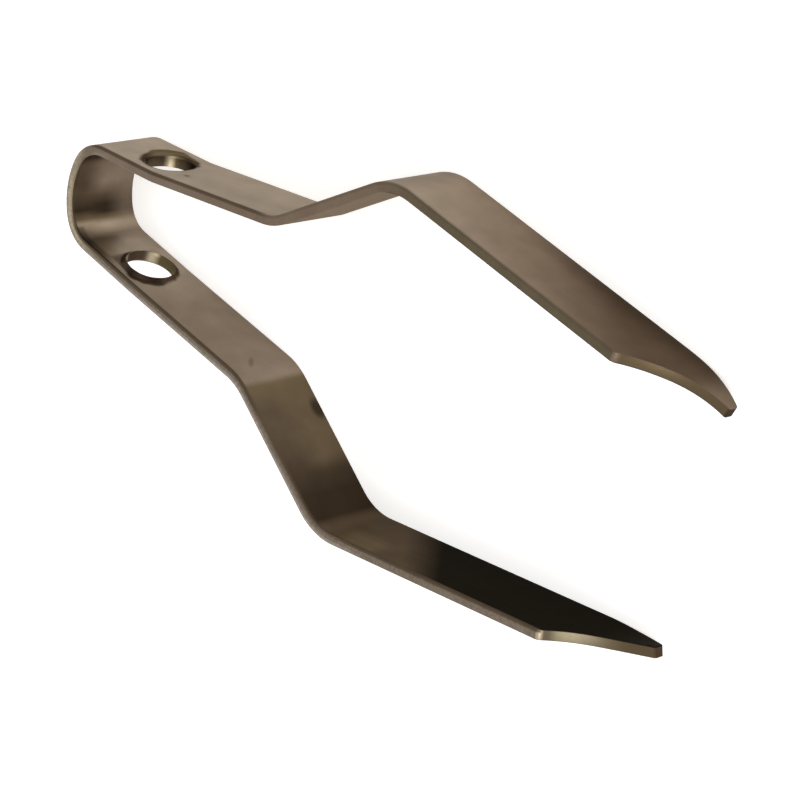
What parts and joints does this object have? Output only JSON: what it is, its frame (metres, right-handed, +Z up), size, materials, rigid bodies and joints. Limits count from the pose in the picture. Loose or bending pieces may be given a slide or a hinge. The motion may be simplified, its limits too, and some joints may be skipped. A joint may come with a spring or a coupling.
{
  "type": "connector lock removal tool",
  "caption": "Connector lock removal tool: a metal strip bent into a narrow U, its arms stepped outwards into long jaws with cut, pointed, inward-curled tips, and a round hole in each arm.",
  "frame": {"origin": "middle of the tool's box, on the table it lies on", "axes": "+X from the U-bend to the tips, +Y from the lower arm of the picture to the upper one, +Z up across the strip, towards the edge the tips are cut from"},
  "size_m": [0.1042, 0.0468, 0.01],
  "materials": {
    "plated_steel": "smooth satin-bright nickel-like plating on sheet steel"
  },
  "bodies": {
    "root": {"strip": "plated_steel"}
  },
  "joints": []
}
